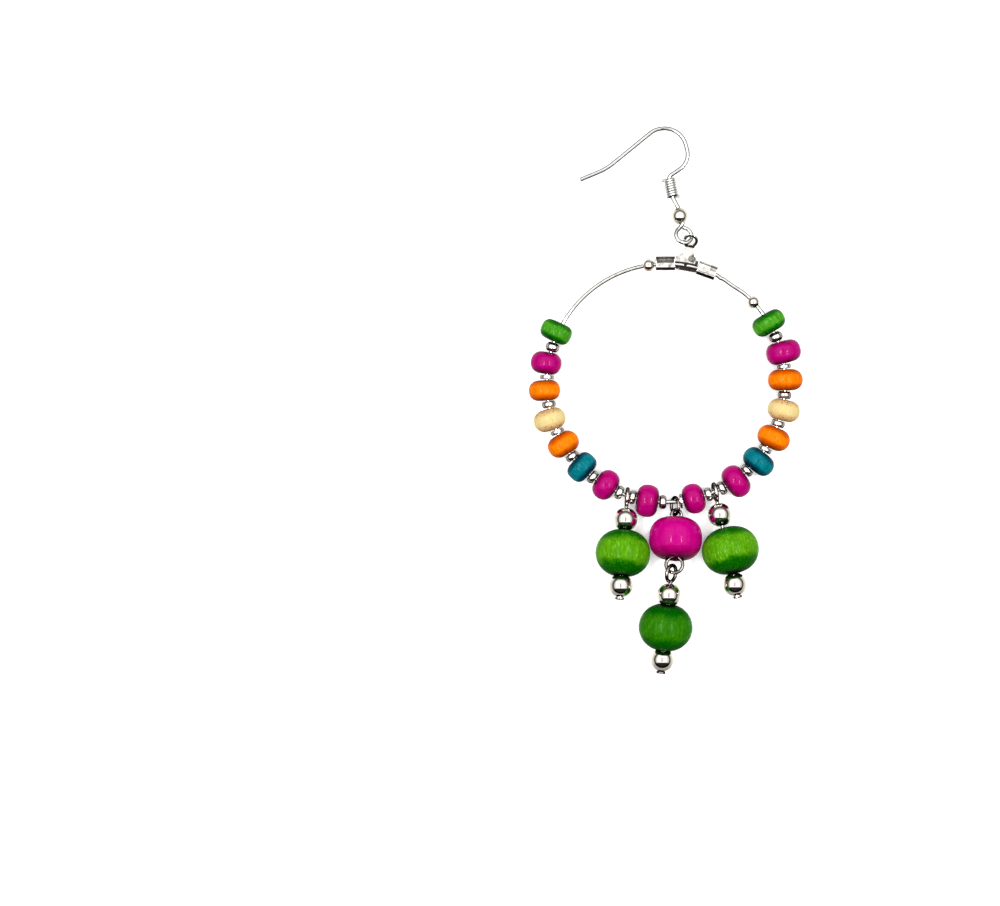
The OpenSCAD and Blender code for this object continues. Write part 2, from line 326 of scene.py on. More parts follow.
@dataclass(frozen=True)
class WoodFinish:
    """Dyed and lacquered wood, with painted sheen, glints and shade.

    Attributes:
        name: Name of the material.
        deep: Colour towards the ends of the bead, deeper dye with painted shade, and of the dark
            fibres.
        body: Main colour.
        painted_sheen: Colour of the painted sheen band round the middle and of the painted glints.
        pore_and_shade: Colour of the open pores, and of the painted shade at the ends and in the
            hole.
        band: Half width of the painted sheen band, as a share of the half length.
        streaks: Strength of the long dark streaks, from 0 to 1.
        glints: Strength of the painted glints, short light streaks along the fibres and flecks in
            the band, from 0 to 1.
        pores: Strength of the pores near the ends, from 0 to 1.
        coat: Weight of the lacquer.
        gloss: Roughness of the lacquer.
        relief: Depth of the grain in metres.
        STREAK: Pattern of the long streaks.
        FINE: Pattern of the fine fibres.
        CLOUD: Pattern of the soft unevenness.
        FLECK: Pattern of the painted glints in the band.
        SPOT: Pattern of the pores.
        LACQUER_IOR: Refraction of the lacquer.
        END_DARKNESS: Strength of the painted shade at the ends and in the hole, from 0 to 1.
    """

    name: str
    deep: tuple
    body: tuple
    painted_sheen: tuple
    pore_and_shade: tuple
    band: float
    streaks: float
    glints: float
    pores: float
    coat: float
    gloss: float
    relief: float

    STREAK = Pattern(1.9, 0.13, 4.0, 0.62)
    FINE = Pattern(6.0, 0.1, 3.0, 0.6)
    CLOUD = Pattern(0.5, 1.0, 2.0, 0.5)
    FLECK = Pattern(5.0, 0.22, 2.0, 0.5)
    SPOT = Pattern(5.5, 0.4, 1.0, 0.4)
    LACQUER_IOR = 1.45
    END_DARKNESS = 0.85

    def colour(self, g: Surface, place: Socket, streak: Socket, fine: Socket,
               cloud: Socket) -> Socket:
        """Mixes the dye, its painted sheen band, the streaks, the painted glints, the pores and the
        painted shade at the ends.

        Args:
            g: Graph of the material.
            place: Place in the bead's own frame, in millimetres.
            streak: Pattern of the long streaks.
            fine: Pattern of the fine fibres.
            cloud: Pattern of the soft unevenness.

        Returns:
            The colour's socket.
        """
        side = g.piece_value("along")
        along = g.maths("ABSOLUTE", side)
        # one end deepens less than the other: painted shade that follows how the light falls
        edge = g.maths("MULTIPLY", along, g.ramp(side, -0.1, 0.4, 1.0, 0.82))
        edge = g.stray(g.stray(edge, cloud, 0.45), streak, 0.4)
        # the colour deepens towards the ends, deeper dye with painted shade, and a painted sheen
        # band lies round the middle
        colour = g.mix(g.ramp(edge, 0.48, 0.95), self.body, self.deep)
        band = g.ramp(edge, self.band - 0.12, self.band + 0.2, 1.0, 0.0)
        light = g.maths("MULTIPLY", band, g.ramp(streak, 0.36, 0.62, 0.6, 1.0))
        colour = g.mix(light, colour, self.painted_sheen)
        # dark fibres, painted glints along the fibres, and brighter painted glints in the band
        colour = g.over(colour, self.deep, g.ramp(fine, 0.47, 0.33), self.streaks)
        colour = g.over(colour, self.painted_sheen, g.ramp(fine, 0.56, 0.7), self.glints)
        fleck = g.ramp(g.noise(place, self.FLECK), 0.54, 0.66)
        bright = (*(min(1.0, 1.7 * c + 0.02) for c in self.painted_sheen[:3]), 1.0)
        colour = g.over(colour, bright, fleck, g.maths("MULTIPLY", light, self.glints))
        # open pores near the ends, and painted shade at the ends, in the hole and round its mouth
        spot = g.ramp(g.noise(place, self.SPOT), 0.57, 0.63)
        rim = g.maths("MULTIPLY", g.ramp(along, 0.42, 0.66), g.ramp(along, 1.0, 0.9))
        colour = g.over(colour, self.pore_and_shade, g.maths("MULTIPLY", spot, rim), self.pores)
        hole = g.ramp(g.piece_value("inside"), 0.3, 0.9)
        end = g.maths("MAXIMUM", hole, g.ramp(along, 0.86, 0.99))
        return g.over(colour, self.pore_and_shade, end, self.END_DARKNESS)

    def material(self) -> bpy.types.Material:
        """Builds the material.

        Returns:
            The new material.
        """
        g = Surface(self.name)
        place = g.piece_vector("grain_place")
        streak, fine, cloud = (g.noise(place, p) for p in (self.STREAK, self.FINE, self.CLOUD))
        return g.filled({
            "Base Color": self.colour(g, place, streak, fine, cloud),
            "Roughness": g.ramp(fine, 0.3, 0.7, 0.36, 0.6),
            "Specular IOR Level": 0.0,
            "Coat Weight": self.coat,
            "Coat IOR": self.LACQUER_IOR,
            "Coat Roughness": self.gloss,
            "Normal": g.bump(fine, self.relief * 0.6, g.bump(streak, self.relief)),
            "Coat Normal": g.bump(fine, self.relief * 0.5, g.bump(cloud, self.relief * 1.5)),
        })


@dataclass(frozen=True)
class MetalFinish:
    """Plated or drawn metal.

    Attributes:
        name: Name of the material.
        bright: Colour of the clean metal.
        dull: Colour where it has darkened.
        rim: Tint of the metal at a glancing angle.
        dulled: Share of the surface that has darkened, from 0 to 1.
        rough: Lowest and highest roughness.
        scratch: Depth of the fine scratches in metres.
        dent: Depth of the soft unevenness in metres.
        oxide_and_shade: Colour of the oxide and painted shade that the mesh carries as
            "oxide_and_shade", or None without them.
        CLOUD: Pattern of the soft unevenness.
        SPECKS: Pattern of the small dull spots and the scratches.
    """

    name: str
    bright: tuple
    dull: tuple
    rim: tuple
    dulled: float
    rough: tuple
    scratch: float
    dent: float
    oxide_and_shade: tuple | None = None

    CLOUD = Pattern(0.9)
    SPECKS = Pattern(7.0, 1.0, 4.0, 0.65)

    def material(self) -> bpy.types.Material:
        """Builds the material.

        Returns:
            The new material.
        """
        g = Surface(self.name)
        place = g.millimetres()
        cloud = g.noise(place, self.CLOUD)
        specks = g.noise(place, self.SPECKS)
        colour = g.over(self.bright, self.dull, g.ramp(cloud, 0.45, 0.68), self.dulled)
        colour = g.over(colour, self.dull, g.ramp(specks, 0.6, 0.72), self.dulled)
        # oxide and painted shade that the mesh marks, with ragged edges
        if self.oxide_and_shade is not None:
            ragged = g.stray(g.stray(g.piece_value("oxide_and_shade"), specks, 0.6), cloud, 0.5)
            colour = g.mix(g.ramp(ragged, 0.2, 0.9), colour, self.oxide_and_shade)
        return g.filled({
            "Base Color": colour,
            "Metallic": 1.0,
            "Specular Tint": self.rim,
            "Roughness": g.ramp(specks, 0.3, 0.7, *self.rough),
            "Normal": g.bump(specks, self.scratch, g.bump(cloud, self.dent)),
        })


@dataclass(frozen=True)
class PaperFinish:
    """Pearly white paper, lit from below.

    Attributes:
        name: Name of the material.
        dark: Colour between its fibres.
        light: Colour of its fibres.
        sheen: Weight of its pearly sheen.
        rough: Roughness of the sheen.
        glow: Light that it lets through from below.
        glow_colour: Colour of that light.
        FIBRES: Pattern of its fibres.
    """

    name: str = "white_paper"
    dark: tuple = (0.93, 0.93, 0.93, 1.0)
    light: tuple = (0.97, 0.97, 0.97, 1.0)
    sheen: float = 0.9
    rough: float = 0.34
    glow: float = 0.2
    glow_colour: tuple = (1.0, 1.0, 1.0, 1.0)

    FIBRES = Pattern(1.5, 1.0, 4.0, 0.6)

    def material(self) -> bpy.types.Material:
        """Builds the material.

        Returns:
            The new material.
        """
        g = Surface(self.name)
        fibres = g.noise(g.millimetres(), self.FIBRES)
        return g.filled({
            "Base Color": g.mix(fibres, self.dark, self.light),
            "Metallic": self.sheen,
            "Roughness": self.rough,
            "Emission Color": self.glow_colour,
            "Emission Strength": self.glow,
        })


class Finish(Enum):
    """Every finish on the earring."""

    # wood colours: ends and dark fibres with painted shade, body, painted sheen and glints, pores
    # and painted end shade
    GREEN = WoodFinish(
        "dyed_green_wood", linear(0, 80, 0), linear(2, 92, 0), linear(86, 151, 8),
        linear(2, 30, 2), 0.42, 0.3, 0.65, 0.15, 0.1, 0.16, 14e-6)
    GREEN_DEEP = WoodFinish(
        "dyed_deep_green_wood", linear(0, 72, 0), linear(0, 86, 0), linear(44, 114, 0),
        linear(2, 30, 2), 0.4, 0.2, 0.6, 0.15, 0.1, 0.16, 12e-6)
    GREEN_SMALL = WoodFinish(
        "dyed_green_wood_small", linear(0, 56, 0), linear(4, 100, 0), linear(66, 144, 24),
        linear(0, 22, 2), 0.42, 0.3, 0.8, 0.2, 0.16, 0.12, 8e-6)
    MAGENTA = WoodFinish(
        "dyed_magenta_wood", linear(126, 0, 72), linear(168, 0, 100), linear(183, 0, 120),
        linear(52, 0, 30), 0.5, 0.08, 0.15, 0.05, 0.2, 0.07, 3e-6)
    MAGENTA_SMALL = WoodFinish(
        "dyed_magenta_wood_small", linear(94, 0, 54), linear(152, 0, 88), linear(168, 0, 106),
        linear(34, 0, 18), 0.5, 0.12, 0.15, 0.05, 0.24, 0.08, 4e-6)
    ORANGE = WoodFinish(
        "dyed_orange_wood", linear(148, 48, 0), linear(208, 88, 0), linear(238, 124, 0),
        linear(70, 18, 0), 0.38, 0.35, 0.3, 0.25, 0.12, 0.12, 6e-6)
    TEAL = WoodFinish(
        "dyed_teal_wood", linear(0, 24, 46), linear(0, 68, 84), linear(0, 114, 124),
        linear(0, 14, 28), 0.42, 0.4, 0.4, 0.2, 0.14, 0.11, 6e-6)
    NATURAL = WoodFinish(
        "natural_wood", linear(200, 156, 106), linear(216, 184, 126), linear(218, 198, 136),
        linear(116, 70, 36), 0.36, 0.4, 0.2, 0.95, 0.12, 0.14, 6e-6)
    BALL = MetalFinish(
        "polished_ball", linear(240, 234, 222), linear(190, 180, 160), linear(150, 145, 135),
        0.25, (0.03, 0.09), 0.3e-6, 5e-6)
    # the last colour of each metal below is its oxide and painted shade, where its mesh marks them
    SPACER = MetalFinish(
        "polished_barrel", linear(244, 242, 236), linear(190, 184, 172), linear(140, 136, 130),
        0.25, (0.04, 0.12), 0.4e-6, 4e-6, linear(104, 100, 96))
    HOOK = MetalFinish(
        "polished_ear_wire", linear(232, 231, 228), linear(205, 203, 198), linear(110, 108, 104),
        0.2, (0.06, 0.15), 0.4e-6, 2e-6, linear(88, 86, 84))
    COIL = MetalFinish(
        "tarnished_coil", linear(244, 243, 240), linear(200, 196, 190), linear(110, 108, 104),
        0.2, (0.22, 0.32), 0.4e-6, 2e-6, linear(64, 62, 60))
    SHEET = MetalFinish(
        "worn_stamping", linear(252, 250, 242), linear(180, 175, 166), linear(110, 106, 100),
        0.4, (0.06, 0.2), 1.0e-6, 12e-6, linear(62, 54, 50))
    STEEL = MetalFinish(
        "drawn_steel", linear(240, 237, 232), linear(168, 163, 156), linear(60, 58, 56),
        0.35, (0.06, 0.14), 0.6e-6, 2e-6, linear(48, 45, 43))
    PIN = MetalFinish(
        "tarnished_pin", linear(222, 214, 205), linear(158, 148, 140), linear(50, 46, 44),
        0.45, (0.05, 0.13), 0.8e-6, 4e-6, linear(92, 84, 79))
    DARK = MetalFinish(
        "blackened_silver", linear(152, 144, 138), linear(96, 88, 82), linear(40, 36, 34),
        0.5, (0.05, 0.12), 0.8e-6, 4e-6, linear(54, 48, 46))

    def shader(self) -> bpy.types.Material:
        """Gives the material of this finish, which is made once."""
        made = bpy.data.materials.get(self.value.name)
        return made if made is not None else self.value.material()


def show(name: str, data: bpy.types.ID) -> bpy.types.Object:
    """Adds an object to the scene.

    Args:
        name: Name of the new object.
        data: Its mesh, lamp or camera.

    Returns:
        The new object.
    """
    piece = bpy.data.objects.new(name, data)
    bpy.context.scene.collection.objects.link(piece)
    return piece


def carry(mesh: bpy.types.Mesh, name: str, values: np.ndarray) -> None:
    """Stores a number at each point of a mesh, as an attribute of that name."""
    store = mesh.attributes.new(name, "FLOAT", "POINT")
    store.data.foreach_set("value", np.ascontiguousarray(values, dtype=np.float32))


def stand_in(name: str, mesh: bpy.types.Mesh, node: str, finish: Finish) -> bpy.types.Object:
    """Puts a mesh in the place of a node of the part.

    Args:
        name: Name of the new object.
        mesh: Its mesh.
        node: Node that it replaces.
        finish: Its finish.

    Returns:
        The new object.
    """
    mesh.polygons.foreach_set("use_smooth", [True] * len(mesh.polygons))
    mesh.materials.clear()
    mesh.materials.append(finish.shader())
    piece = show(name, mesh)
    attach(piece, ROOT)
    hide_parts(node)
    LOG.info("made %s in %s", name, finish.value.name)
    return piece


class TurnedPiece:
    """A drilled piece that is round about its hole: a bead, a ball or a spacer.

    Attributes:
        MOUTH: Distances from the hole where the painted shade round its mouth starts to fade and
            ends.
        MOUTH_SHADE: Strength of the painted shade round the mouth, from 0 to 1.
        LIP_STEPS: Steps round the edge of the hole.
        FLAT: Width of the flat end from which it gets a point of its own.
        WAVES: Bulges round the axis in each wave of the unevenness.
        TWIST: Turn of the waves along the axis, in radians for each metre.
        SPREAD: Farthest shift of the grain from piece to piece, in millimetres.
    """

    MOUTH = (0.4 * MM, 0.85 * MM)
    MOUTH_SHADE = 0.9
    LIP_STEPS = 6
    FLAT = 0.05 * MM
    WAVES = (2, 3, 5)
    TWIST = 900.0
    SPREAD = 50.0

    def __init__(self, node: str, axis: Vector, rings: int = 56, steps: int = 96) -> None:
        """Sets up the piece.

        Args:
            node: Node of the part that it replaces.
            axis: Direction of its hole.
            rings: Steps along the outer side.
            steps: Points around the axis.
        """
        self.node = node
        self.place = measure(node, axis)
        self.rings = rings
        self.steps = steps

    def outline(self, power: float, lip: float, arc: float) -> list:
        """Works out the outline from one end of the side to the other and back by the hole.

        Args:
            power: Squareness of the side.
            lip: Radius of the rounded edge of the hole.
            arc: Radius of the side's curve.

        Returns:
            Points as distance along the axis, distance from it and inside share.
        """
        p = self.place
        arc = max(arc, p.half)
        core = p.radius - arc
        last = math.asin(min(1.0, (p.half / arc) ** (power / 2)))
        mouth = max(0.0, (p.hole + lip - core) / arc)
        last = min(last, math.acos(min(1.0, mouth ** (power / 2))))
        side = []
        for i in range(self.rings + 1):
            t = last * (2 * i / self.rings - 1)
            along = math.copysign(arc * abs(math.sin(t)) ** (2 / power), t)
            side.append((along, core + arc * math.cos(t) ** (2 / power), 0.0))
        end, foot, _ = side[-1]
        top = []
        if foot - p.hole - lip > self.FLAT:
            top.append((end, (foot + p.hole + lip) / 2, 0.1))
        for i in range(1, self.LIP_STEPS + 1):
            t = i / self.LIP_STEPS * math.pi / 2
            top.append((end - lip * (1 - math.cos(t)), p.hole + lip * (1 - math.sin(t)),
                        0.2 + 0.8 * i / self.LIP_STEPS))
        bore = [(end * s, p.hole, 1.0) for s in (0.5, 0.0, -0.5)]
        return side + top + bore + [(-a, out, inside) for a, out, inside in top[::-1]]

    def build(self, finish: Finish, slot: str, shape: Shape, lip: float, uneven: float,
              seed: int, arc: float = 0.0) -> bpy.types.Object:
        """Makes the mesh and puts it in the place of the node.

        Args:
            finish: Finish of the whole piece.
            slot: Material slot of the part that it belongs to; not used.
            shape: Squareness of the side.
            lip: Radius of the rounded edge of the hole.
            uneven: How far the side strays from round.
            seed: Start of its own random numbers.
            arc: Radius of the side's curve, or 0 for half of the length.

        Returns:
            The new object.
        """
        rng = np.random.default_rng(seed)
        p = self.place
        near, far = self.MOUTH
        out_x = p.axis.cross(Vector((0, 0, 1))).normalized()
        out_z = out_x.cross(p.axis)
        waves = [(k, rng.uniform(0, 2 * math.pi), rng.uniform(0.3, 1.0)) for k in self.WAVES]
        shift = rng.uniform(-self.SPREAD, self.SPREAD, 3)
        grown = bmesh.new()
        rows = []
        data = []
        for along, out, inside in self.outline(shape.value, lip, arc):
            row = []
            # painted shade round the mouth of the hole, carried in the inside share
            darkening = self.MOUTH_SHADE * min(1.0, max(0.0, (p.hole + far - out) / (far - near)))
            for j in range(self.steps):
                angle = 2 * math.pi * j / self.steps
                stray = sum(a * math.sin(k * angle + w + self.TWIST * along)
                            for k, w, a in waves) / 3
                reach = out - uneven * (1 - inside) * (0.5 + 0.5 * stray) * (out / p.radius) ** 2
                local = (reach * math.cos(angle), along, reach * math.sin(angle))
                point = p.centre + out_x * local[0] + p.axis * along + out_z * local[2]
                row.append(grown.verts.new(point))
                data.append((*(np.array(local) / MM + shift), along / p.half, max(inside, darkening)))
            rows.append(row)
        # the last row joins the first, so that the hole is lined
        for i, row in enumerate(rows):
            other = rows[(i + 1) % len(rows)]
            for j in range(self.steps):
                k = (j + 1) % self.steps
                grown.faces.new((row[j], row[k], other[k], other[j]))
        bmesh.ops.recalc_face_normals(grown, faces=grown.faces)
        mesh = bpy.data.meshes.new(f"turned_{self.node}")
        grown.to_mesh(mesh)
        grown.free()
        table = np.array(data, dtype=np.float32)
        grain = mesh.attributes.new("grain_place", "FLOAT_VECTOR", "POINT")
        grain.data.foreach_set("vector", table[:, :3].ravel())
        carry(mesh, "along", table[:, 3])
        carry(mesh, "inside", table[:, 4])
        return stand_in(f"turned_{self.node}", mesh, self.node, finish)


def ease(values: np.ndarray, low: float, high: float) -> np.ndarray:
    """Maps values smoothly from 0 at low to 1 at high."""
    share = np.clip((values - low) / (high - low), 0, 1)
    return share * share * (3 - 2 * share)


def tube(route: np.ndarray, radius: float, sides: int = 24) -> tuple:
    """Sweeps a round wire along a route and closes its ends.

    Args:
        route: One row of x, y and z for each point of the route.
        radius: Radius of the wire.
        sides: Points round the wire.

    Returns:
        The points of the mesh and its faces.
    """
    turn = np.linspace(0, 2 * math.pi, sides, endpoint=False)
    along = np.gradient(route, axis=0)
    along /= np.linalg.norm(along, axis=1)[:, None]
    out = np.cross(along, (0, 0, 1))
    out /= np.linalg.norm(out, axis=1)[:, None]
    up = np.cross(out, along)
    rings = (route[:, None] + radius * (np.cos(turn)[None, :, None] * out[:, None]
                                        + np.sin(turn)[None, :, None] * up[:, None]))
    points = np.concatenate((rings.reshape(-1, 3), route[:1], route[-1:]))
    last = (len(route) - 1) * sides
    faces = []
    for j in range(sides):
        k = (j + 1) % sides
        faces += [(i + j, i + sides + j, i + sides + k, i + k) for i in range(0, last, sides)]
        faces += [(last + sides, j, k), (last + sides + 1, last + k, last + j)]
    return points, faces


def side_shade(mesh: bpy.types.Mesh) -> np.ndarray:
    """Gives the painted shade of a wire at each point: on its sides, not on top or below."""
    return 1 - ease(np.abs(vertex_rows(mesh, "normal")[:, 2]), *SIDES)


def shade_wire_sides(node: str, name: str, finish: Finish) -> None:
    """Puts a copy of a wire with painted shade on its sides in its place.

    Args:
        node: Name of the wire's node.
        name: Name of the new object.
        finish: Its finish.
    """
    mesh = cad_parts[node].data.copy()
    # painted shade on the wire's sides
    carry(mesh, "oxide_and_shade", side_shade(mesh))
    stand_in(name, mesh, node, finish)


@dataclass(frozen=True)
class HoopSizes:
    """Sizes on the string of beads round the hoop.

    Attributes:
        lip: Radius of the rounded edge of a rondelle's hole.
        uneven: How far a rondelle strays from round.
        spacer_lip: Radius of the rounded edge of the hole in a spacer or a stopper.
        spacer_uneven: How far a spacer or a stopper strays from round.
        spacer_side: Smallest radius of a spacer's rounded side.
        spacer_side_shade: Strength of the painted shade on a spacer's sides, from 0 to 1.
        slack: How far the bare wire hangs inside the circle, and from and to which angle.
        kink: Depth, angle and width in degrees of the kink by the connector.
        wire_ends: Angles in degrees where the wire starts and ends, inside the connector.
        wire_steps: Steps along the wire.
    """

    lip: float = 0.12 * MM
    uneven: float = 0.05 * MM
    spacer_lip: float = 0.06 * MM
    spacer_uneven: float = 0.02 * MM
    spacer_side: float = 0.75 * MM
    spacer_side_shade: float = 0.7
    slack: tuple = (0.2 * MM, 46.5, 65.0)
    kink: tuple = (0.12 * MM, 62.5, 0.9)
    wire_ends: tuple = (81.25, 440.15)
    wire_steps: int = 720


class Hoop:
    """The hoop wire with its rondelles, spacers and stoppers.

    Attributes:
        WOODS: Finish of each colour of rondelle.
        ROW: Colour and squareness of each rondelle, from the left end.
        SPACERS: Number of spacers.
        STOPPERS: Number of stoppers.
    """

    WOODS = {
        "green": Finish.GREEN_SMALL, "magenta": Finish.MAGENTA_SMALL, "orange": Finish.ORANGE,
        "natural": Finish.NATURAL, "teal": Finish.TEAL,
    }
    ROW = (
        ("green", Shape.DRUM), ("magenta", Shape.SOFT), ("orange", Shape.SOFT),
        ("natural", Shape.ROUND), ("orange", Shape.SOFT), ("teal", Shape.DRUM),
        ("magenta", Shape.SOFT), ("magenta", Shape.SQUARE), ("magenta", Shape.SOFT),
        ("magenta", Shape.SOFT), ("teal", Shape.SOFT), ("orange", Shape.ROUND),
        ("natural", Shape.ROUND), ("orange", Shape.SOFT), ("magenta", Shape.SQUARE),
        ("green", Shape.SQUARE),
    )
    SPACERS = 18
    STOPPERS = 2

    def __init__(self, sizes: HoopSizes) -> None:
        """Sets up the hoop with the sizes of its beads."""
        self.sizes = sizes
        self.middle = node_centre("hoop_wire")

    def tangent(self, node: str) -> Vector:
        """Gives the unit direction of the wire where a bead sits."""
        out = node_centre(node) - self.middle
        return Vector((-out.y, out.x, 0)).normalized()

    def wire(self) -> None:
        """Makes the spring wire, a little slack and kinked where it is bare."""
        offset = node_points("hoop_wire") - np.array(self.middle)
        out = np.hypot(offset[:, 0], offset[:, 1])
        reach, radius = (out.max() + out.min()) / 2, (out.max() - out.min()) / 2
        start, end = self.sizes.wire_ends
        way = np.linspace(start, end, self.sizes.wire_steps)
        depth, low, high = self.sizes.slack
        inward = depth * np.sin(math.pi * np.clip((way - 360 - low) / (high - low), 0, 1)) ** 2
        depth, place, width = self.sizes.kink
        inward += depth * np.exp(-(((way - 360 - place) / width) ** 2))
        a = np.radians(way)
        ring = reach - inward
        route = np.stack((ring * np.cos(a), ring * np.sin(a), 0 * a), axis=1)
        points, faces = tube(route + np.array(self.middle), radius)
        mesh = bpy.data.meshes.new("spring_wire")
        mesh.from_pydata(points.tolist(), [], faces)
        # painted shade on the wire's sides
        carry(mesh, "oxide_and_shade", side_shade(mesh))
        stand_in("spring_wire", mesh, "hoop_wire", Finish.STEEL)

    def rondelles(self) -> None:
        """Makes the coloured wooden rondelles."""
        for i, (colour, shape) in enumerate(self.ROW, start=1):
            node = f"rondelle_{i}"
            TurnedPiece(node, symmetry_axis(node)).build(
                self.WOODS[colour], f"{colour}_rondelle", shape, self.sizes.lip,
                self.sizes.uneven, seed=i)

    def spacers(self) -> None:
        """Makes the silver spacers between the rondelles."""
        for i in range(1, self.SPACERS + 1):
            node = f"spacer_{i}"
            piece = TurnedPiece(node, self.tangent(node), rings=28, steps=64).build(
                Finish.SPACER, "silver_spacer", Shape.ROUND, self.sizes.spacer_lip,
                self.sizes.spacer_uneven, seed=100 + i, arc=self.sizes.spacer_side)
            # painted shade on the spacer's sides
            carry(piece.data, "oxide_and_shade", self.sizes.spacer_side_shade * side_shade(piece.data))

    def stoppers(self) -> None:
        """Makes the small round beads on the bare wire."""
        for i in range(1, self.STOPPERS + 1):
            node = f"stopper_{i}"
            TurnedPiece(node, self.tangent(node), rings=40).build(
                Finish.BALL, "bright_silver", Shape.ROUND, self.sizes.spacer_lip,
                self.sizes.spacer_uneven, seed=200 + i)

    def build(self) -> None:
        """Makes all of the hoop."""
        self.wire()
        self.rondelles()
        self.spacers()
        self.stoppers()


@dataclass(frozen=True)
class DropSizes:
    """Sizes on the big beads and their balls.

    Attributes:
        lip: Radius of the rounded edge of a big bead's hole.
        ball_lip: Radius of the rounded edge of a ball's hole.
        uneven: How far a big bead strays from round.
        ball_uneven: How far a ball strays from round.
    """

    lip: float = 0.2 * MM
    ball_lip: float = 0.1 * MM
    uneven: float = 0.06 * MM
    ball_uneven: float = 0.01 * MM


class Drop:
    """A green bead between two silver balls on a head pin."""

    def __init__(self, side: str, wood: Finish, pin: Finish, sizes: DropSizes,
                 seed: int) -> None:
        """Sets up the drop.

        Args:
            side: The drop's word in its nodes' names.
            wood: Finish of its bead.
            pin: Finish of its pin.
            sizes: Its sizes.
            seed: Start of its random numbers.
        """
        self.side = side
        self.wood = wood
        self.pin = pin
        self.sizes = sizes
        self.seed = seed
        upper = node_centre(f"ball_{side}_upper")
        self.axis = (upper - node_centre(f"ball_{side}_lower")).normalized()

    def build(self) -> None:
        """Makes the bead, both balls and the pin."""
        TurnedPiece(f"bead_{self.side}", self.axis, rings=96, steps=144).build(
            self.wood, "green_bead", Shape.ROUND, self.sizes.lip, self.sizes.uneven, self.seed)
        for end in ("upper", "lower"):
            TurnedPiece(f"ball_{self.side}_{end}", self.axis, rings=64).build(
                Finish.BALL, "silver_ball", Shape.ROUND, self.sizes.ball_lip,
                self.sizes.ball_uneven, self.seed + len(end))
        shade_wire_sides(f"pin_{self.side}", f"worn_pin_{self.side}", self.pin)


class MiddleDrop:
    """The magenta bead on its eye pin, with the jump ring above."""

    def __init__(self, sizes: DropSizes) -> None:
        """Sets up the drop with its sizes."""
        self.sizes = sizes

    def build(self) -> None:
        """Makes the bead, the eye pin and the jump ring."""
        TurnedPiece("bead_middle", symmetry_axis("bead_middle"), rings=96, steps=144).build(
            Finish.MAGENTA, "magenta_bead", Shape.SQUARE, self.sizes.lip, self.sizes.uneven,
            seed=31)
        shade_wire_sides("eye_pin", "worn_eye_pin", Finish.DARK)
        shade_wire_sides("jump_ring", "worn_jump_ring", Finish.DARK)


@dataclass(frozen=True)
class HookSizes:
    """Sizes on the ear wire.

    Attributes:
        coil: The two ends of the coil's axis.
        groove: Distance from the axis at the bottom of a groove between turns, and on a turn.
        wire: Radius of the ear wire.
        loop_end: Route of the loop's free end in millimetres.
        end_steps: Points and rounds of smoothing along that route.
        stem: Direction of the wire through the ball.
        ball_lip: Radius of the rounded edge of the ball's hole.
        ball_uneven: How far the ball strays from round.
    """

    coil: tuple = ((0.4411 * MM, 37.0656 * MM, 1.0764 * MM),
                   (1.0418 * MM, 33.838 * MM, 1.3371 * MM))
    groove: tuple = (0.92 * MM, 1.0 * MM)
    wire: float = 0.325 * MM
    loop_end: tuple = (
        (1.926, 28.477, 3.039), (2.001, 28.526, 2.995), (2.115, 28.62, 2.998),
        (2.284, 28.839, 3.134), (2.439, 29.102, 3.267), (2.566, 29.351, 3.256),
        (2.691, 29.583, 3.174),
    )
    end_steps: int = 30
    stem: tuple = (-0.1793, 0.9224, -0.342)
    ball_lip: float = 0.08 * MM
    ball_uneven: float = 0.01 * MM


class EarHook:
    """The ear wire with its coil and ball."""

    def __init__(self, sizes: HookSizes) -> None:
        """Sets up the ear wire with its sizes."""
        self.sizes = sizes

    def build(self) -> None:
        """Makes the ball, the wire and its coil."""
        TurnedPiece("hook_ball", Vector(self.sizes.stem)).build(
            Finish.BALL, "bright_silver", Shape.ROUND, self.sizes.ball_lip,
            self.sizes.ball_uneven, seed=61)
        self.wire()
        self.coil()

    def wire(self) -> None:
        """Makes the ear wire, with its loop's end bent over the stem up to the ball."""
        stops = np.array(self.sizes.loop_end) * MM
        step = np.arange(len(stops))
        fine = np.linspace(0, step[-1], self.sizes.end_steps)
        route = np.stack([np.interp(fine, step, stops[:, i]) for i in range(3)], axis=1)
        for _ in range(self.sizes.end_steps):
            route[1:-1] = (route[:-2] + 2 * route[1:-1] + route[2:]) / 4
        points, faces = tube(route, self.sizes.wire)
        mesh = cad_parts["ear_hook"].data.copy()
        grown = bmesh.new()
        grown.from_mesh(mesh)
        corners = [grown.verts.new(point) for point in points]
        for face in faces:
            grown.faces.new([corners[i] for i in face])
        grown.to_mesh(mesh)
        grown.free()
        # painted shade on the wire's sides
        carry(mesh, "oxide_and_shade", side_shade(mesh))
        stand_in("worn_ear_wire", mesh, "ear_hook", Finish.HOOK)

    def coil(self) -> None:
        """Makes the coil, with painted shade and oxide in the grooves between its turns."""
        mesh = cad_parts["hook_coil"].data.copy()
        start, end = (np.array(point) for point in self.sizes.coil)
        axis = (end - start) / np.linalg.norm(end - start)
        offset = node_points("hook_coil") - start
        out = np.linalg.norm(offset - np.outer(offset @ axis, axis), axis=1)
        low, high = self.sizes.groove
        # painted shade and oxide in the grooves between the turns
        carry(mesh, "oxide_and_shade", 1 - ease(out, low, high))
        stand_in("grooved_coil", mesh, "hook_coil", Finish.COIL)


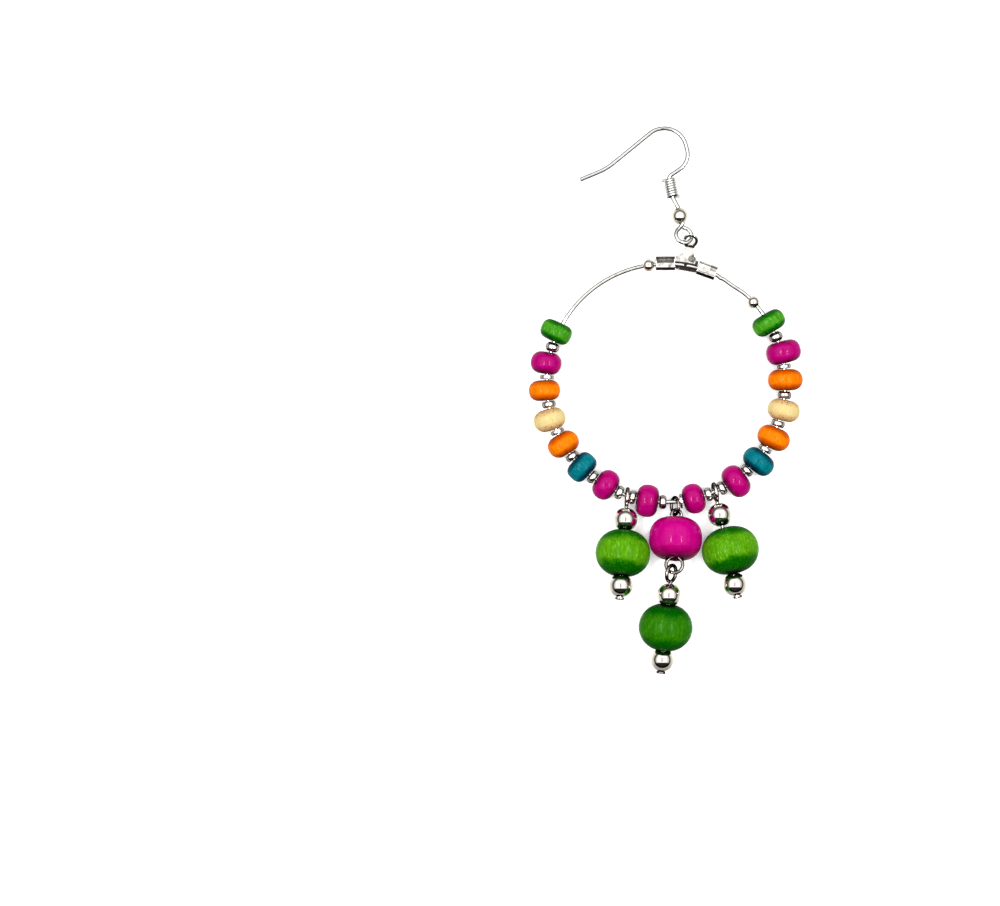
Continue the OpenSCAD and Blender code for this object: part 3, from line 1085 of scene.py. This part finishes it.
@dataclass(frozen=True)
class ConnectorSizes:
    """Wear, oxide and painted shade of the stamped sheet.

    A place on it is an angle in degrees and a distance from the middle of the hoop.

    Attributes:
        cell: Size of the cells of its mesh, in millimetres.
        smooth: Strength and rounds of the smoothing on its edges.
        dent: Depth of its soft dents.
        dents: Number of dents in a metre.
        dimple: Angle, distance, width and depth of the dimple in the plate.
        patches: Lowest and highest angle, lowest and highest distance and strength of each
        darker patch: painted shade and shadow by the tabs and under the wire, and oxide.
        fade: Width of a patch's soft edge.
        darkening: Strength of the darkening in the dimple.
        dimple_fade: Where that darkening starts to fade and ends, in widths of the dimple.
        edge: Strength of the painted shade on the sheet's edges and sides.
        edge_fade: Where that painted shade ends and is full, as the upright share of the normal.
    """

    cell: float = 0.055
    smooth: tuple = (0.5, 5)
    dent: float = 0.02 * MM
    dents: float = 1100.0
    dimple: tuple = (78.3, 21.15 * MM, 0.42 * MM, 0.04 * MM)
    patches: tuple = (
        (86.2, 94.6, 20.0 * MM, 21.3 * MM, 0.74), (85.4, 95.2, 18.4 * MM, 19.12 * MM, 0.9),
        (75.0, 83.4, 18.6 * MM, 20.4 * MM, 1.0), (83.4, 85.6, 19.2 * MM, 20.4 * MM, 0.95),
        (65.4, 68.9, 20.1 * MM, 21.2 * MM, 0.6),
        (65.2, 74.6, 18.4 * MM, 19.3 * MM, 0.95), (74.9, 76.4, 19.2 * MM, 21.0 * MM, 0.85),
    )
    fade: float = 0.16 * MM
    darkening: float = 0.72
    dimple_fade: tuple = (1.2, 1.8)
    edge: float = 0.6
    edge_fade: tuple = (0.85, 0.3)


class Connector:
    """The stamped sheet that joins the hoop to the ear wire."""

    def __init__(self, sizes: ConnectorSizes) -> None:
        """Sets up the sheet with its sizes."""
        self.sizes = sizes
        self.middle = node_centre("hoop_wire")

    def fine_mesh(self) -> bpy.types.Mesh:
        """Makes a fine mesh of the sheet with softly rounded edges.

        Returns:
            The mesh, in metres.
        """
        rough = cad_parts["connector"].data.copy()
        rough.transform(Matrix.Scale(1 / MM, 4))
        model = show("sheet_model", rough)
        remesh = model.modifiers.new("cells", "REMESH")
        remesh.mode = "VOXEL"
        remesh.voxel_size = self.sizes.cell
        smooth = model.modifiers.new("edges", "SMOOTH")
        smooth.factor, smooth.iterations = self.sizes.smooth
        shaped = model.evaluated_get(bpy.context.evaluated_depsgraph_get())
        mesh = bpy.data.meshes.new_from_object(shaped)
        mesh.transform(Matrix.Scale(MM, 4))
        bpy.data.objects.remove(model)
        return mesh

    def build(self) -> None:
        """Makes the dented sheet and marks its oxide and painted shade."""
        s = self.sizes
        mesh = self.fine_mesh()
        points = vertex_rows(mesh, "co")
        normals = vertex_rows(mesh, "normal")
        offset = points - np.array(self.middle)
        out = np.hypot(offset[:, 0], offset[:, 1])
        angle = np.degrees(np.arctan2(offset[:, 1], offset[:, 0]))
        # oxide with painted shade and shadow in patches, darkening in the dimple, and painted shade
        # on the edges and sides
        oxide_and_shade = np.zeros(len(points))
        for low, high, near, far, strength in s.patches:
            side = np.radians(np.minimum(angle - low, high - angle)) * out
            inside = np.minimum(side, np.minimum(out - near, far - out))
            oxide_and_shade = np.maximum(oxide_and_shade, strength * ease(inside, -s.fade / 2, s.fade / 2))
        place, distance, width, depth = s.dimple
        a = math.radians(place)
        gap = np.hypot(offset[:, 0] - distance * math.cos(a), offset[:, 1] - distance * math.sin(a))
        near, far = (width * share for share in s.dimple_fade)
        oxide_and_shade = np.maximum(oxide_and_shade, s.darkening * (1 - ease(gap, near, far)))
        clear, full = s.edge_fade
        oxide_and_shade = np.maximum(oxide_and_shade, s.edge * (1 - ease(np.abs(normals[:, 2]), full, clear)))
        # soft dents and the dimple
        waves = [noise.noise(Vector(p) * s.dents) for p in points]
        points += normals * (s.dent * np.array(waves))[:, None]
        points[:, 2] -= depth * np.exp(-((gap / width) ** 2))
        mesh.vertices.foreach_set("co", points.ravel())
        mesh.update()
        carry(mesh, "oxide_and_shade", oxide_and_shade)
        stand_in("worn_sheet", mesh, "connector", Finish.SHEET)


@dataclass(frozen=True)
class StudioSizes:
    """Camera, lights and paper.

    Attributes:
        photo: Width and height of the picture in pixels.
        pixels_per_mm: Scale of the picture.
        hoop_pixel: Where the middle of the hoop lies in the picture.
        distance: Height of the camera.
        focus_height: Height above the paper where the scale holds.
        sensor: Width of the camera's sensor in millimetres.
        clip: Farthest distance that the camera sees.
        middle: Place under the camera.
        softbox: Width, length and height of each softbox.
        gap: Space between the softboxes, where the camera looks through.
        shift: How far the softboxes stand towards the ear wire.
        power: Power of each softbox in watts.
        strips: Width, length and power of the two strip lamps.
        strip_places: Where the strip lamps hang, to the sides of the camera.
        strip_drop: How far the strip lamps hang below the softboxes.
        paper: Width of the paper.
        paper_drop: How far the paper lies below the part.
        walls: Brightness of the tent's walls.
        dark: Share of the light that comes from the room in front of the tent.
        low: Share of the light that comes from under the tent's edge.
        front: How far towards the camera's foot the tent's opening fades in, as directions' Y.
        skirt: Where the tent's lower edge fades in, as directions' Z.
        top: Where the tent ends round the camera, as directions' Z.
        hole: Share of the light left there.
    """

    photo: tuple = (1000, 906)
    pixels_per_mm: float = 6.0
    hoop_pixel: tuple = (666.0, 383.0)
    distance: float = 1.2
    focus_height: float = 0.003
    sensor: float = 36.0
    clip: float = 10.0
    middle: tuple = (-0.0278, -0.0088)
    softbox: tuple = (0.5, 0.8, 0.5)
    gap: float = 0.04
    shift: float = 0.12
    power: float = 1.25
    strips: tuple = (0.05, 0.26, 1.0)
    strip_places: tuple = (-0.15, 0.25)
    strip_drop: float = 0.01
    paper: float = 3.0
    paper_drop: float = 0.02 * MM
    walls: float = 0.85
    dark: float = 0.03
    low: float = 0.12
    front: tuple = (-0.52, -0.4)
    skirt: tuple = (0.3, 0.5)
    top: tuple = (0.9, 0.95)
    hole: float = 0.1


class Studio:
    """Paper, light and camera."""

    def __init__(self, sizes: StudioSizes) -> None:
        """Sets up the studio with its sizes."""
        self.sizes = sizes

    def paper(self) -> None:
        """Makes the white backlit sheet that the earring lies on."""
        half = self.sizes.paper / 2
        mesh = bpy.data.meshes.new("paper")
        corners = [(-half, -half, 0), (half, -half, 0), (half, half, 0), (-half, half, 0)]
        mesh.from_pydata(corners, [], [(0, 1, 2, 3)])
        mesh.materials.append(PaperFinish().material())
        paper = show("paper", mesh)
        paper.location.z = -self.sizes.paper_drop

    def lamp(self, name: str, place: Vector, size: tuple, power: float) -> None:
        """Adds a soft lamp that faces straight down.

        Args:
            name: Name of the lamp.
            place: Where it hangs.
            size: Width and length.
            power: Power in watts.
        """
        light = bpy.data.lights.new(name, "AREA")
        light.shape = "RECTANGLE"
        light.size, light.size_y = size
        light.energy = power
        lamp = show(name, light)
        lamp.location = place
        lamp.visible_camera = False

    def lights(self) -> None:
        """Hangs two softboxes side by side in a tent, with a bright strip under each."""
        s = self.sizes
        width, length, height = s.softbox
        strip_width, strip_length, strip_power = s.strips
        for i, side in enumerate((-1, 1)):
            across = s.middle[0] + side * (s.gap + width) / 2
            self.lamp(f"softbox_{i}", Vector((across, s.middle[1] + s.shift, height)),
                      (width, length), s.power)
            across = s.middle[0] + s.strip_places[i]
            self.lamp(f"strip_{i}", Vector((across, s.middle[1], height - s.strip_drop)),
                      (strip_width, strip_length), strip_power)
        self.tent()

    def tent(self) -> None:
        """Makes a white tent that is open at the front, low down and, a little, at the top."""
        s = self.sizes
        world = bpy.data.worlds.new("light_tent")
        world.use_nodes = True
        g = Graph(world.node_tree)
        place = g.add("ShaderNodeTexCoord").outputs["Generated"]
        way = g.add("ShaderNodeSeparateXYZ", {"Vector": place})
        light = s.walls
        for axis, ends, start, end in (
                ("Y", s.front, s.dark, 1.0), ("Z", s.skirt, s.low, 1.0), ("Z", s.top, 1.0, s.hole)):
            light = g.maths("MULTIPLY", light, g.ramp(way.outputs[axis], *ends, start, end))
        g.put(g.tree.nodes["Background"].inputs["Color"], light)
        bpy.context.scene.world = world

    def camera(self) -> None:
        """Puts the camera straight above the middle of the picture."""
        s = self.sizes
        middle = node_centre("hoop_wire")
        scale = MM / s.pixels_per_mm
        x = middle.x + (s.photo[0] / 2 - s.hoop_pixel[0]) * scale
        y = middle.y - (s.photo[1] / 2 - s.hoop_pixel[1]) * scale
        data = bpy.data.cameras.new("camera")
        data.sensor_width = s.sensor
        data.lens = s.sensor * (s.distance - s.focus_height) / (s.photo[0] * scale)
        data.clip_end = s.clip
        camera = show("camera", data)
        camera.location = (x, y, s.distance)
        bpy.context.scene.camera = camera

    def build(self) -> None:
        """Makes all of the studio."""
        bpy.context.scene.view_settings.view_transform = "Standard"
        self.paper()
        self.lights()
        self.camera()
        LOG.info("set up the studio")


def main() -> None:
    """Builds the looks of the earring, piece by piece."""
    logging.basicConfig(level=logging.INFO, format="%(message)s")
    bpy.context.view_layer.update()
    Studio(StudioSizes()).build()
    Hoop(HoopSizes()).build()
    sizes = DropSizes()
    Drop("left", Finish.GREEN, Finish.PIN, sizes, 11).build()
    Drop("right", Finish.GREEN, Finish.PIN, sizes, 17).build()
    Drop("tail", Finish.GREEN_DEEP, Finish.DARK, sizes, 23).build()
    MiddleDrop(sizes).build()
    EarHook(HookSizes()).build()
    Connector(ConnectorSizes()).build()


if __name__ == "__main__":
    main()
